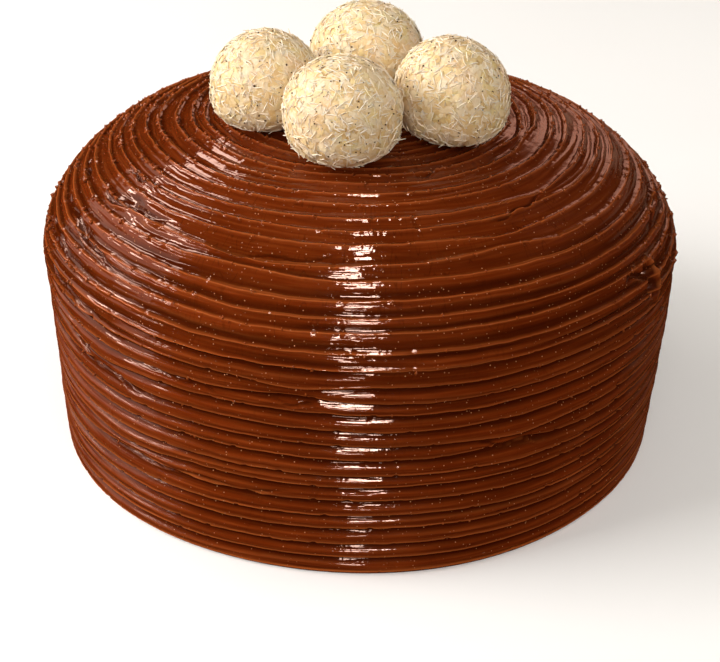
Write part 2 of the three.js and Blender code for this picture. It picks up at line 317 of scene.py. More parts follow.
# Smooth blobs (positive) and holes (negative): degrees, distance up, half width, half height, height.
BLOBS = [
    (-47, 102, 5.5, 2.6, 0.9), (-54, 107, 3.0, 2.0, -1.3), (-68, 86, 4.0, 2.2, 0.8),
    (-61, 89, 2.5, 1.6, -1.0), (59.3, 81, 0.9, 1.6, -2.2), (60.0, 76, 1.1, 2.2, -3.8),
    (61.2, 83, 0.7, 1.6, 1.3), (62.2, 79.5, 0.8, 2.2, 1.9), (62.6, 74.5, 0.8, 2.6, 1.7),
    (61.5, 70.5, 0.8, 1.6, 1.2), (59.8, 85, 1.6, 0.7, 0.9), (78, 88, 4.0, 2.6, 0.7),
    (-78, 66, 4.0, 3.0, 0.7), (27, 44, 3.0, 1.4, -0.9), (152, 62, 4.0, 2.2, 0.8),
    (-148, 94, 4.0, 2.2, 0.8), (146, 57, 2.5, 1.6, -1.0),
]
# Millimetres up for each degree round, and the noise's share of the height.
BLOB_LEAN, BLOB_ROUGH = 0.12, 0.3


def tears(angle, s, noise):
    """Slits with a raised lip, along lines that run across the ridges. The noise breaks them up."""
    out = np.zeros(np.broadcast(angle, s).shape)
    for from_deg, from_s, to_deg, to_s, depth, width in TEARS:
        middle, reach = (from_deg + to_deg) / 2, math.radians((to_deg - from_deg) / 2)
        share = around_from(angle, middle) / reach
        line = (from_s + to_s) / 2 + (to_s - from_s) / 2 * share
        line = line + TEAR_WINDS * np.sin(TEAR_TURN * share + from_s) + TEAR_STRAYS * noise
        fade = np.clip(1 - share**4, 0, 1) * np.clip(TEAR_WHOLE + noise, 0, 1)
        above = (s - line) / width
        slit = -depth * bell(above - SLIT_UP, SLIT_WIDTH)
        lip = LIP_HEIGHT * depth * bell(above + LIP_DOWN, LIP_WIDTH)
        out = out + fade * (slit + lip)
    return np.clip(out, TEARS_DEEPEST, TEARS_HIGHEST)


def blobs(angle, s):
    out = np.zeros(np.broadcast(angle, s).shape)
    for *place, high in BLOBS:
        out = out + high * spot(angle, s, *place, BLOB_LEAN)
    return out


# ---- the frosting's grid

COLUMNS, COLUMNS_TOP = 840, 400
# Pieces of the frosting: name, first and last ridge, columns.
FROSTING_PARTS = [
    ("frosting_foot", 0, 7, COLUMNS), ("frosting_side", 7, 14, COLUMNS),
    ("frosting_shoulder", 14, 21, COLUMNS), ("frosting_dome", 21, 28, COLUMNS),
    ("frosting_top", 28, 37, COLUMNS_TOP),
]
SEAM_UNDER_CREST = 2

# Each ridge's cross-section, going up from one crest (0) to the next (1): depths as shares of the groove.
SHARES = [0.0, 0.05, 0.11, 0.17, 0.26, 0.36, 0.46, 0.54, 0.61, 0.67, 0.73, 0.83, 0.94]
# How much painted glow and highlight each point of the cross-section gets, most on the crest.
EDGE_GLOWS = [1.0, 0.30, 0.0, 0, 0, 0, 0, 0, 0, 0, 0, 0, 0.1]
# A second thin line runs just above a crest where the comb's teeth left one, with a painted glow of its
# own.
DOUBLE_CREST = [0.0, 0.12, -0.30, -0.08, 0, 0, 0, 0, 0, 0, 0, 0, 0]
DOUBLE_GLOW = [0.0, 0.0, 0.6, 0.1, 0, 0, 0, 0, 0, 0, 0, 0, 0]
# Where each cross-section holds, in distance up, its depths and the painted shade in its grooves.
# Between these places they blend.
SIDE_DEPTHS = [0.0, 0.19, 0.21, 0.15, 0.08, 0.07, 0.15, 0.36, 0.60, 0.66, 0.92, 1.0, 0.70]
SHOULDER_DEPTHS = [0.0, 0.30, 0.64, 0.88, 1.0, 0.95, 0.80, 0.62, 0.46, 0.34, 0.26, 0.30, 0.20]
DOME_DEPTHS = [0.0, 0.34, 0.56, 0.72, 0.90, 1.0, 0.99, 0.94, 0.88, 0.82, 0.76, 0.63, 0.36]
DOME_SHADES = [0.0, 0.70, 0.68, 0.60, 0.53, 0.49, 0.46, 0.44, 0.43, 0.43, 0.46, 0.52, 0.25]
PROFILES = [
    (58.0, SIDE_DEPTHS, SIDE_DEPTHS),
    (84.0, SHOULDER_DEPTHS, SHOULDER_DEPTHS),
    (112.0, DOME_DEPTHS, DOME_SHADES),
]
# The visible grooves are this much deeper than the part's.
DEEPER = 1.12

# Noise along each ridge: amount, cells round the cake, seed.
LATTICE_ROWS_PER_RIDGE = 7
RIDGE_NOISES = {
    "wiggle": (0.24, 46, 11), "fine_wiggle": (0.16, 110, 12), "torn_wiggle": (0.45, 70, 13),
    "dip": (0.10, 70, 14), "fine_dip": (0.12, 260, 15), "notch": (1, 190, 16), "torn_dip": (0.5, 80, 17),
    "second_at": (0.30, 9, 18), "second_high": (1, 7, 19), "uneven": (0.16, 24, 20),
    "doubled": (1.3, 14, 29), "profile": (14, 10, 27),
}
WIGGLE_FADE = 2
# How far the crests lie under the smooth outline, at least and where torn, and their small notches.
LEAST_DROP, TORN_DROP = 0.02, 0.15
NOTCH_FROM, NOTCH_SLOPE, NOTCH_DEEPEST = 0.40, 2.2, 0.5
# The share of the groove over and under a crest that drops with it.
DROP_ABOVE, DROP_POWER, DROP_BELOW = 0.3, 1.5, 0.2
# A faint line inside the groove: place, height, width, reach and painted glow.
SECOND_AT, SECOND_MORE, SECOND_MOST, SECOND_SHARE = 0.48, 0.10, 0.45, 0.8
SECOND_WIDTH, SECOND_FROM, SECOND_TO, SECOND_GLOW = 0.07, 0.1, 0.85, 0.6
DOUBLED = 0.35

# Noise over the whole outside: amount, cells round the cake, cells up it, seed.
SURFACE_NOISES = {
    "rough": (1, 64, 120, 21), "fine_rough": (0.5, 190, 160, 22), "ragged": (0.20, 46, 66, 23),
    "soft": (0.07, 22, 60, 24), "fine": (0.06, 60, 130, 25), "broken": (1, 48, 26, 28),
}
TORN_RELIEF = 0.07
RELIEF_FADE_MIDDLE = 20
# How far relief may stand over the smooth outline on the side, and how much further from the shoulder up.
ROOM_ON_SIDE, ROOM_MORE, ROOM_RISE = 0.1, 0.9, (74, 84)
# Lips and blobs get a painted glow like the ridges' edges, and slits and holes a painted shade like the
# grooves.
LIP_FROM, LIP_MOST = 0.25, 0.4
BLOB_GLOW, BLOB_FROM, BLOB_MOST = 1.5, 0.7, 0.7
SLIT_SHADE, HOLE_SHADE = 1.1, 0.8
SHADE_MOST = 1.3


def ridge_noise(columns, amount, cells, seed):
    """One independent wavering line for each crest."""
    rows = RIDGES + 1
    u = np.arange(columns)[None, :] / columns
    v = np.arange(rows)[:, None] / rows
    return amount * lattice_noise(u, v, cells, rows * LATTICE_ROWS_PER_RIDGE, seed)


def crest_lines(angle, noise):
    """Every crest's distance up, and how far it lies under the smooth outline."""
    ridges = np.arange(RIDGES + 1)
    crest = np.array([crest_at(i, angle) for i in range(RIDGES + 1)])
    torn = tear(angle[None, :], crest)
    wiggle = noise["wiggle"] + noise["fine_wiggle"] + torn * noise["torn_wiggle"]
    crest = crest + wiggle * np.minimum(1, np.minimum(ridges, RIDGES - ridges) / WIGGLE_FADE)[:, None]

    drop = np.clip(np.array([crest_drop(i, angle) for i in range(RIDGES + 1)]), LEAST_DROP, None)
    drop += np.abs(noise["dip"])
    drop += np.abs(noise["fine_dip"])
    drop += np.minimum(np.clip(noise["notch"] - NOTCH_FROM, 0, None) * NOTCH_SLOPE, NOTCH_DEEPEST)
    drop += torn * (TORN_DROP + np.abs(noise["torn_dip"]))
    return crest, drop


def blended_profile(k, s):
    """Depth and painted groove shade of one point of the cross-section at distances up."""
    depth, dark = PROFILES[0][1][k], PROFILES[0][2][k]
    for (low_s, low, low_dark), (high_s, high, high_dark) in zip(PROFILES, PROFILES[1:]):
        share = ease(s, low_s, high_s)
        depth = depth + (high[k] - low[k]) * share
        dark = dark + (high_dark[k] - low_dark[k]) * share
    return depth, dark


def groove_rows(angle, crest, drop, noise):
    """The grid's rows: distance up, depth under the smooth outline, painted glow near the crests, painted
    groove shade.
    """
    second_at = SECOND_AT + noise["second_at"]
    second_high = np.clip(noise["second_high"] + SECOND_MORE, 0, SECOND_MOST) * SECOND_SHARE
    doubled = np.clip(DOUBLED + noise["doubled"], 0, 1)
    profile_at = crest + noise["profile"]
    rows = []
    for i in range(RIDGES):
        full = (GROOVE_DEPTH + (GROOVE_DEPTH_TOP - GROOVE_DEPTH) * i / RIDGES) * DEEPER
        groove = full * (1 - MERGE_FILL * squeeze(i, angle)) * (1 + noise["uneven"][i])
        for k, share in enumerate(SHARES):
            profile, dark = blended_profile(k, profile_at[i])
            in_reach = SECOND_FROM < share < SECOND_TO
            line = second_high[i] * bell(share - second_at[i], SECOND_WIDTH) * in_reach
            depth = (profile - line + DOUBLE_CREST[k] * doubled[i]) * groove
            over = max(0, 1 - share / DROP_ABOVE) ** DROP_POWER
            under = max(0, (share - (1 - DROP_BELOW)) / DROP_BELOW)
            depth = depth + drop[i] * over + drop[i + 1] * under
            edge_glow = EDGE_GLOWS[k] + SECOND_GLOW * line + DOUBLE_GLOW[k] * doubled[i]
            rows.append((crest[i] + (crest[i + 1] - crest[i]) * share, depth, edge_glow, dark))
    rows.append((crest[RIDGES], drop[RIDGES], np.ones_like(angle), np.zeros_like(angle)))
    return np.array(rows).transpose(1, 0, 2)


def frosting_grid(columns):
    """Every row of the frosting from foot to middle: angles, positions and what the shader reads."""
    angle = np.arange(columns) / columns * TAU
    around = angle[None, :]
    noise = {name: ridge_noise(columns, *kind) for name, kind in RIDGE_NOISES.items()}
    crest, drop = crest_lines(angle, noise)
    s, depth, edge_glow, groove_shade = groove_rows(angle, crest, drop, noise)

    u = around / TAU + np.zeros_like(s)
    v = s / OUTLINE_LENGTH
    noise = {
        name: amount * lattice_noise(u, v, *cells, seed)
        for name, (amount, *cells, seed) in SURFACE_NOISES.items()
    }
    rough = noise["rough"] + noise["fine_rough"]
    relief = noise["soft"] + noise["fine"]
    relief += tear(around, s) * (TORN_RELIEF * rough - np.abs(noise["ragged"]))
    broken = tears(around, s, noise["broken"])
    lumps = blobs(around, s) * (1 + BLOB_ROUGH * rough)
    relief += broken + lumps

    fade = np.minimum((OUTLINE_LENGTH - s) / RELIEF_FADE_MIDDLE, 1)
    highest = depth + ROOM_ON_SIDE + ROOM_MORE * ease(s, *ROOM_RISE)
    out = swell(around, s) - depth + np.minimum(relief * fade, highest)
    r, z, out_r, out_z = outline_at(s)
    points = at_angle(around, r + out_r * out, z + out_z * out)

    # Painted glow on the tears' lips and the blobs, and painted shade in the slits and holes.
    edge_glow = edge_glow + np.clip(broken - LIP_FROM, 0, LIP_MOST)
    edge_glow = edge_glow + BLOB_GLOW * np.clip(lumps - BLOB_FROM, 0, BLOB_MOST)
    groove_shade = groove_shade - SLIT_SHADE * np.minimum(broken, 0) - HOLE_SHADE * np.minimum(lumps, 0)
    edge_glow, groove_shade = np.clip(edge_glow, 0, SHADE_MOST), np.clip(groove_shade, 0, SHADE_MOST)
    return angle, points, {"up": s, "edge_glow": edge_glow, "groove_shade": groove_shade}


# ---- meshes of the frosting

# The UV map has a margin, and over the grid a point that the end's triangles share.
UV_MARGIN = 0.004
UV_GRID_HEIGHT = 0.96
UV_OF_FAN = (0.5, 0.985)


def new_object(name, vertices, faces, material, smooth=True):
    """A mesh object from vertices in millimetres."""
    mesh = bpy.data.meshes.new(name)
    mesh.from_pydata((vertices * MM).tolist(), [], faces)
    mesh.polygons.foreach_set("use_smooth", [smooth] * len(mesh.polygons))
    mesh.update()
    mesh.materials.append(material)
    obj = bpy.data.objects.new(name, mesh)
    bpy.context.scene.collection.objects.link(obj)
    return obj


def grid_faces(rows, columns):
    """Quads of a grid that closes round its columns, wound so that they face out."""
    row = np.arange(rows - 1)[:, None] * columns
    col = np.arange(columns)[None, :]
    after = (col + 1) % columns
    corners = [row + col, row + after, row + columns + after, row + columns + col]
    return np.stack(corners, -1).reshape(-1, 4).tolist()


def fan_faces(hub, ring, columns, facing_up):
    """Triangles from a vertex in the middle to the grid's end row, which starts at vertex ring."""
    pairs = [(ring + c, ring + (c + 1) % columns) for c in range(columns)]
    return [[a, b, hub] if facing_up else [hub, b, a] for a, b in pairs]


def set_float(mesh, name, values):
    attribute = mesh.attributes.new(name, "FLOAT", "POINT")
    attribute.data.foreach_set("value", np.asarray(values, np.float32).ravel())


def set_round_uv(mesh, rows, columns):
    """A UV map that unrolls the grid: once round is 0..1 across, and bottom to top is 0..1."""
    layer = mesh.uv_layers.new(name="OFBake")
    row = np.repeat(np.arange(rows - 1), columns)
    col = np.tile(np.arange(columns), rows - 1)
    u0, u1 = col / columns, (col + 1) / columns
    v0, v1 = row / (rows - 1), (row + 1) / (rows - 1)
    uv = np.stack([u0, v0, u1, v0, u1, v1, u0, v1], -1).reshape(-1, 2)
    uv = UV_MARGIN + uv * np.array([1 - 2 * UV_MARGIN, UV_GRID_HEIGHT - 2 * UV_MARGIN])
    flat = np.tile(UV_OF_FAN, (len(mesh.loops), 1))
    flat[: len(uv)] = uv
    layer.data.foreach_set("uv", flat.ravel())


def seam_row(ridge):
    """The row where two pieces meet, a little under a ridge's crest, or the grid's own end."""
    return ridge * len(SHARES) - (SEAM_UNDER_CREST if 0 < ridge < RIDGES else 0)


def make_frosting(material):
    grids = {columns: frosting_grid(columns) for columns in {COLUMNS, COLUMNS_TOP}}
    for name, first, last, columns in FROSTING_PARTS:
        angle, points, values = grids[columns]
        part = slice(seam_row(first), seam_row(last) + 1)
        rows = points[part]
        values = {key: value[part] for key, value in values.items()}
        if first == 0:
            level = np.zeros_like(angle)
            foot = at_angle(angle, FOOT_RADIUS - FOOT_INSET + swell(angle, level), level)
            rows = np.concatenate([foot[None], rows])
            values = {key: np.concatenate([level[None], value]) for key, value in values.items()}
        count = len(rows)
        faces = grid_faces(count, columns)
        vertices = rows.reshape(-1, 3)
        hub = len(vertices)
        if first == 0:
            vertices = np.concatenate([vertices, [[0.0, 0.0, 0.0]]])
            faces += fan_faces(hub, 0, columns, facing_up=False)
        elif last == RIDGES:
            vertices = np.concatenate([vertices, [[0.0, 0.0, CAKE_HEIGHT - CENTRE_DIP]]])
            faces += fan_faces(hub, hub - columns, columns, facing_up=True)
        vertices = np.clip(vertices, BOX_LOW, BOX_HIGH)
        obj = new_object(name, vertices, faces, material)
        for key, value in values.items():
            flat = value.ravel()
            if len(vertices) > hub:
                flat = np.append(flat, flat[0] if first == 0 else flat[-1])
            set_float(obj.data, key, flat)
        set_round_uv(obj.data, count, columns)
        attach(obj, "root")
        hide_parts("cake")


BEADS = 2600
BEAD_SEED = 900
BEADLESS_RIDGES = 3
BEAD_CORNERS = np.array([[1, 0, 0], [0, 1, 0], [-1, 0, 0], [0, -1, 0], [0, 0, 1], [0, 0, -1]], float)
BEAD_FACES = np.array([
    [0, 1, 4], [1, 2, 4], [2, 3, 4], [3, 0, 4], [1, 0, 5], [2, 1, 5], [3, 2, 5], [0, 3, 5],
])
# How many of the drawn beads are kept: low down, and more of them high up at the front and at the sides.
BEADS_LOW, BEADS_FRONT, BEADS_SIDES = 0.06, 0.25, 0.75
BEADS_RISE = (50, 85)
SIDES = (0.6, 0.9)
# Sizes along the ridge, up and out. At the sides some are larger by this share.
BEAD_SIZES = [(0.28, 0.6), (0.35, 0.8), (0.28, 0.5)]
LARGE_BEADS, LARGER_BY = 0.5, 0.8
BEAD_SINK = (0.05, 0.25)
BEAD_STRAYS = 0.25
BEAD_LEAN = 0.5
# The painted glow on every bead, as on the ridges' edges.
BEAD_GLOW = 0.5


def make_beads(material):
    """Small beads of frosting that stand on the ridges' edges, mostly on the shoulder and the dome."""
    rng = np.random.default_rng(BEAD_SEED)
    ridge = rng.integers(BEADLESS_RIDGES, RIDGES - BEADLESS_RIDGES, BEADS)
    angle = rng.uniform(0, TAU, BEADS)
    level = np.array([level_crest(i) for i in ridge])
    at_side = ease(np.abs(np.sin(angle)), *SIDES)
    chance = BEADS_LOW + (BEADS_FRONT + BEADS_SIDES * at_side) * ease(level, *BEADS_RISE)
    torn = np.array([tear(a, b) for a, b in zip(angle, level)])
    keep = rng.random(BEADS) < np.clip(chance + torn, 0, 1)
    ridge, angle, at_side = ridge[keep], angle[keep], at_side[keep]
    s = np.array([crest_at(i, np.array([a]))[0] for i, a in zip(ridge, angle)])
    s = s + rng.normal(0, BEAD_STRAYS, len(s))
    n = len(s)
    r, z, out_r, out_z = outline_at(s)
    drop = np.array([crest_drop(i, a) for i, a in zip(ridge, angle)])
    proud = swell(angle, s) - drop - rng.uniform(*BEAD_SINK, n)
    at = at_angle(angle, r + out_r * proud, z + out_z * proud)
    out = at_angle(angle, out_r, out_z)
    along = np.stack([np.cos(angle), np.sin(angle), 0 * angle], -1)
    along, upward = turned(along, np.cross(out, along), rng.normal(0, BEAD_LEAN, n)[:, None])
    large = 1 + LARGER_BY * (rng.random(n) < LARGE_BEADS) * at_side
    points = at[:, None]
    for axis, (way, size) in enumerate(zip((along, upward, out), BEAD_SIZES)):
        reach = large * rng.uniform(*size, n)
        points = points + way[:, None] * BEAD_CORNERS[None, :, axis, None] * reach[:, None, None]
    keep = inside_box(points).all(1)
    points, s = points[keep], s[keep]
    n, corners = len(s), len(BEAD_CORNERS)
    faces = BEAD_FACES[None] + corners * np.arange(n)[:, None, None]
    obj = new_object("frosting_beads", points.reshape(-1, 3), faces.reshape(-1, 3).tolist(), material)
    set_float(obj.data, "up", np.repeat(s, corners))
    set_float(obj.data, "edge_glow", np.full(n * corners, BEAD_GLOW))
    set_float(obj.data, "groove_shade", np.zeros(n * corners))
    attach(obj, "root")


# ---- the truffles' form

REST_ROWS, REST_COLUMNS = 12, 20
NORMAL_STEP = 0.02


def core_points(spec, direction, index):
    """Points of a truffle's core, from its middle, in the directions of unit vectors, as in the part."""
    _, _, _, radius, half, taper, lean = spec
    flat = np.hypot(direction[:, 0], direction[:, 1])
    angle = np.arctan2(direction[:, 1], direction[:, 0])
    power = np.where(direction[:, 2] < 0, UNDERSIDE_POWER, 2.0)
    across = flat ** (2 / power)
    up = np.sign(direction[:, 2]) * np.abs(direction[:, 2]) ** (2 / power)
    across = across * (1 - taper * up)
    wave = np.sin(2 * angle + index) + 0.8 * np.sin(3 * angle + 2 * up + 2.3 * index)
    uneven = 1 + TRUFFLE_UNEVEN * flat * wave
    x = np.cos(angle) * across * radius * uneven - lean * up
    y = np.sin(angle) * across * radius * uneven
    z = up * half * (1 + 0.5 * TRUFFLE_UNEVEN * wave * flat)
    return np.stack([x, y, z], -1)


def sphere_directions(rows, columns):
    """Unit vectors in rings from the bottom up, then the lowest and the highest one."""
    lat = (np.arange(1, rows) / rows - 0.5) * math.pi
    lon = np.arange(columns) / columns * TAU
    z = np.sin(lat)[:, None] + 0 * lon[None, :]
    x = np.cos(lat)[:, None] * np.cos(lon)[None, :]
    y = np.cos(lat)[:, None] * np.sin(lon)[None, :]
    ring = np.stack([x, y, z], -1).reshape(-1, 3)
    return np.concatenate([ring, [[0, 0, -1.0]], [[0, 0, 1.0]]])


def truffle_middle(spec, index):
    """The middle of a truffle that rests just over the frosting under it."""
    points = core_points(spec, sphere_directions(REST_ROWS, REST_COLUMNS), index)
    x, y = points[:, 0] + spec[1], points[:, 1] + spec[2]
    radius = np.hypot(x, y)
    lift = np.maximum(swell(np.arctan2(x, -y), OUTLINE_LENGTH - radius), 0)
    height = np.max(height_over(radius) + lift + RESTING_GAP - points[:, 2])
    return np.array([spec[1], spec[2], max(height, 0)])


MIDDLES = [truffle_middle(spec, index) for index, spec in enumerate(TRUFFLES)]


def core_normals(spec, direction, index):
    """Outward unit normals of a truffle's core in the directions of unit vectors."""
    here = core_points(spec, direction, index)
    a, b = (
        core_points(spec, unit(direction + NORMAL_STEP * side), index) - here
        for side in tangents(direction)
    )
    n = unit(np.cross(a, b))
    return n * np.sign((n * direction).sum(1))[:, None]


CORE_ROWS, CORE_COLUMNS = 60, 96
# Lumps: height, waves for each millimetre, first seed. Each is a sum of plane waves in random directions.
CORE_LUMPS = [(0.10, 2.1, 40), (0.06, 4.6, 50)]
LUMP_WAVES = 14
LUMP_LEAST, LUMP_MORE = 0.7, 0.6
LUMP_SPREAD = 3.2
LUMP_RANGE = (-0.3, 0.15)
# The core lies under the form by this much, and the flakes and shreds fill the room.
CORE_SINK = 0.18


def lumpy(points, scale, seed):
    """A lumpy field over points in space, from about -1 to 1."""
    rng = np.random.default_rng(seed)
    total = np.zeros(len(points))
    for _ in range(LUMP_WAVES):
        way = rng.normal(size=3)
        way *= scale * (LUMP_LEAST + LUMP_MORE * rng.random()) / np.linalg.norm(way)
        total += np.sin(points @ way + rng.uniform(0, TAU))
    return total / LUMP_SPREAD


def make_core(spec, index, material):
    direction = sphere_directions(CORE_ROWS, CORE_COLUMNS)
    points = core_points(spec, direction, index)
    lumps = sum(high * lumpy(points, scale, seed + index) for high, scale, seed in CORE_LUMPS)
    rise = np.clip(lumps, *LUMP_RANGE) - CORE_SINK
    points = points + core_normals(spec, direction, index) * rise[:, None] + MIDDLES[index]
    rings = CORE_ROWS - 1
    lowest = rings * CORE_COLUMNS
    faces = grid_faces(rings, CORE_COLUMNS)
    faces += fan_faces(lowest, 0, CORE_COLUMNS, facing_up=False)
    faces += fan_faces(lowest + 1, lowest - CORE_COLUMNS, CORE_COLUMNS, facing_up=True)
    obj = new_object(spec[0] + "_core", points, faces, material)
    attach(obj, "root")
    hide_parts(spec[0])


# ---- flakes, shreds and specks

GOLDEN_ANGLE = 2.399963
SPREAD_STRAYS = 0.9
LOWEST_PIECE = -0.90
# Pieces keep this far from the other truffles, and may sink this far into the frosting.
CLEARANCE = 0.1
FROSTING_SINK = 0.4


def clear_of_neighbours(points, own):
    """Which of the points are over the frosting and outside the other truffles."""
    radius = np.hypot(points[:, 0], points[:, 1])
    keep = points[:, 2] > height_over(radius) - FROSTING_SINK
    for i, spec in enumerate(TRUFFLES):
        if i == own:
            continue
        reach = spec[3] * (1 + spec[5]) + CLEARANCE
        d = points - MIDDLES[i]
        d[:, 2] *= reach / (spec[4] + CLEARANCE)
        keep &= np.linalg.norm(d, axis=1) > reach
    return keep


def spread_directions(count, lowest, rng):
    """Unit vectors spread evenly from the top down, each moved a little at random."""
    i = np.arange(count)
    z = 1 - (1 - lowest) * (i + rng.random(count)) / count
    angle = i * GOLDEN_ANGLE + SPREAD_STRAYS * rng.random(count)
    flat = np.sqrt(np.clip(1 - z * z, 0, 1))
    return np.stack([flat * np.cos(angle), flat * np.sin(angle), z], -1)


def lying(spec, index, count, rng, twist_sd):
    """Places on a truffle, with the directions along, across and out of things that lie there."""
    direction = spread_directions(count, LOWEST_PIECE, rng)
    at = core_points(spec, direction, index)
    out = core_normals(spec, direction, index)
    along, _ = turned(*tangents(out), rng.uniform(0, TAU, (count, 1)))
    across, out = turned(np.cross(out, along), out, rng.normal(0, twist_sd, (count, 1)))
    return at, along, across, out


def make_lying_pieces(name, shapes_of, pattern, material):
    """One mesh of many small closed pieces on all the truffles, each with a tone of its own."""
    vertices, faces, tones, total = [], [], [], 0
    for index, spec in enumerate(TRUFFLES):
        shapes, tone = shapes_of(spec, index)
        shapes = shapes + MIDDLES[index]
        keep = np.ones(len(shapes), bool)
        per = shapes.shape[1]
        for k in range(per):
            keep &= clear_of_neighbours(shapes[:, k], index) & inside_box(shapes[:, k])
        shapes, tone = shapes[keep], tone[keep]
        vertices.append(shapes.reshape(-1, 3))
        offsets = total + per * np.arange(len(shapes))
        faces.append((pattern[None] + offsets[:, None, None]).reshape(-1, 3))
        tones.append(np.repeat(tone, per))
        total += per * len(shapes)
    faces = np.concatenate(faces).tolist()
    obj = new_object(name, np.concatenate(vertices), faces, material, smooth=False)
    set_float(obj.data, "tone", np.concatenate(tones))
    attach(obj, "root")


FLAKES_EACH = 1700
FLAKE_SEED = 700
FLAKE_TWIST = 0.07
FLAKE_LENGTH = (1.1, 2.2)
FLAKE_WIDTH_SHARE = (0.55, 0.85)
FLAKE_LIFT = (-0.14, 0.02)
FLAKE_TILT = 0.07
FLAKE_CORNERS = 6
FLAKE_CORNER_SIZE = (0.75, 1.1)
FLAKE_STRAYS = (-0.3, 0.3)
FLAKE_PEAK = (0.05, 0.13)
FLAKE_TONE, FLAKE_TONE_RANGE = 0.15, 0.6


def flake_shapes(spec, index):
    """Small low pyramids with an uneven six-sided outline, flat on the truffle."""
    rng = np.random.default_rng(FLAKE_SEED + index)
    n = (FLAKES_EACH, 1)
    at, along, across, out = lying(spec, index, FLAKES_EACH, rng, FLAKE_TWIST)
    long = rng.uniform(*FLAKE_LENGTH, n)
    wide = long * rng.uniform(*FLAKE_WIDTH_SHARE, n)
    lift = rng.uniform(*FLAKE_LIFT, n)
    tilt = rng.normal(0, FLAKE_TILT, n)
    rings = []
    for k in range(FLAKE_CORNERS):
        angle = TAU * k / FLAKE_CORNERS + rng.uniform(*FLAKE_STRAYS, n)
        size = rng.uniform(*FLAKE_CORNER_SIZE, n)
        x, y = long * size * np.cos(angle), wide * size * np.sin(angle)
        down = (x * x + y * y) / (2 * spec[3])
        rings.append(at + along * x + across * y + out * (lift + tilt * x - down))
    x, y = rng.uniform(*FLAKE_STRAYS, n) * long, rng.uniform(*FLAKE_STRAYS, n) * wide
    peak = lift + tilt * x + rng.uniform(*FLAKE_PEAK, n)
    rings.append(at + along * x + across * y + out * peak)
    return np.stack(rings, 1), FLAKE_TONE + FLAKE_TONE_RANGE * rng.random(FLAKES_EACH)


def flake_pattern():
    hub = FLAKE_CORNERS
    sides = [[k, (k + 1) % FLAKE_CORNERS, hub] for k in range(FLAKE_CORNERS)]
    underside = [[0, k + 1, k] for k in range(1, FLAKE_CORNERS - 1)]
    return np.array(sides + underside)


SHREDS_EACH = 900
SHRED_SEED = 300
SHRED_RINGS = 4
SHRED_CORNERS = [(-1.0, -0.5), (1.0, -0.5), (0.0, 1.0)]
SHRED_TWIST = 0.35
SHRED_LENGTH = (1.8, 4.0)
SHRED_WIDTH = (0.32, 0.50)
SHRED_THICK = (0.22, 0.34)
SHRED_BEND = 0.09
SHRED_LIFT = (0.04, 0.26)
# The spread of the tilt, of which some shreds have the larger one.
STEEP_SHREDS, STEEP_TILT, SHRED_TILT = 0.25, 0.28, 0.10
# How much narrower and thinner the ends are, and how far a shred follows the curve under it.
SHRED_NARROWS, SHRED_THINS = 0.5, 0.4
SHRED_BENDS, SHRED_FOLLOWS = 0.35, 0.85
SHRED_TONE, SHRED_TONE_RANGE = 0.75, 0.25


def shred_shapes(spec, index):
    """Thin three-sided strips that lie on the flakes, some with an end that stands off."""
    rng = np.random.default_rng(SHRED_SEED + index)
    n = (SHREDS_EACH, 1)
    at, along, across, out = lying(spec, index, SHREDS_EACH, rng, SHRED_TWIST)
    length = rng.uniform(*SHRED_LENGTH, n)
    width = rng.uniform(*SHRED_WIDTH, n)
    thick = rng.uniform(*SHRED_THICK, n)
    bend = rng.normal(0, SHRED_BEND, n)
    lift = rng.uniform(*SHRED_LIFT, n)
    tilt = rng.normal(0, 1, n) * np.where(rng.random(n) < STEEP_SHREDS, STEEP_TILT, SHRED_TILT)
    curve = 1 / (2 * spec[3])
    rings = []
    for k in range(SHRED_RINGS):
        t = (k / (SHRED_RINGS - 1) - 0.5) * length
        end = abs(k / (SHRED_RINGS - 1) - 0.5) * 2
        w = width * (1 - SHRED_NARROWS * end**3) * 0.5
        h = thick * (1 - SHRED_THINS * end**3) * 0.5
        middle = at + along * t + across * (bend * t * t * SHRED_BENDS)
        middle = middle + out * (lift + tilt * t - curve * t * t * SHRED_FOLLOWS)
        rings += [middle + across * (x * w) + out * (z * h) for x, z in SHRED_CORNERS]
    return np.stack(rings, 1), SHRED_TONE + SHRED_TONE_RANGE * rng.random(SHREDS_EACH)


def shred_pattern():
    pattern = []
    for k in range(SHRED_RINGS - 1):
        for q in range(3):
            p = (q + 1) % 3
            pattern.append([3 * k + q, 3 * k + p, 3 * k + 3 + p])
            pattern.append([3 * k + q, 3 * k + 3 + p, 3 * k + 3 + q])
    last = 3 * (SHRED_RINGS - 1)
    return np.array(pattern + [[2, 1, 0], [last, last + 1, last + 2]])


SPECKS_EACH = 150
SPECK_SEED = 500
LOWEST_SPECK = -0.85
SPECK_STRAYS = 0.16
# Most specks have a radius in this range, and a few are larger.
SPECK_RADIUS = (0.15, 0.25)
SPECK_LARGER, SPECK_RARITY = 0.18, 5
SPECK_STRETCH = (0.75, 1.25)
SPECK_LIFT = (0.0, 0.13)


def icosahedron():
    t = (1 + math.sqrt(5)) / 2
    points = np.array([
        [-1, t, 0], [1, t, 0], [-1, -t, 0], [1, -t, 0], [0, -1, t], [0, 1, t],
        [0, -1, -t], [0, 1, -t], [t, 0, -1], [t, 0, 1], [-t, 0, -1], [-t, 0, 1],
    ]) / math.hypot(1, t)
    faces = np.array([
        [0, 11, 5], [0, 5, 1], [0, 1, 7], [0, 7, 10], [0, 10, 11], [1, 5, 9], [5, 11, 4],
        [11, 10, 2], [10, 7, 6], [7, 1, 8], [3, 9, 4], [3, 4, 2], [3, 2, 6], [3, 6, 8],
        [3, 8, 9], [4, 9, 5], [2, 4, 11], [6, 2, 10], [8, 6, 7], [9, 8, 1],
    ])
    return points, faces


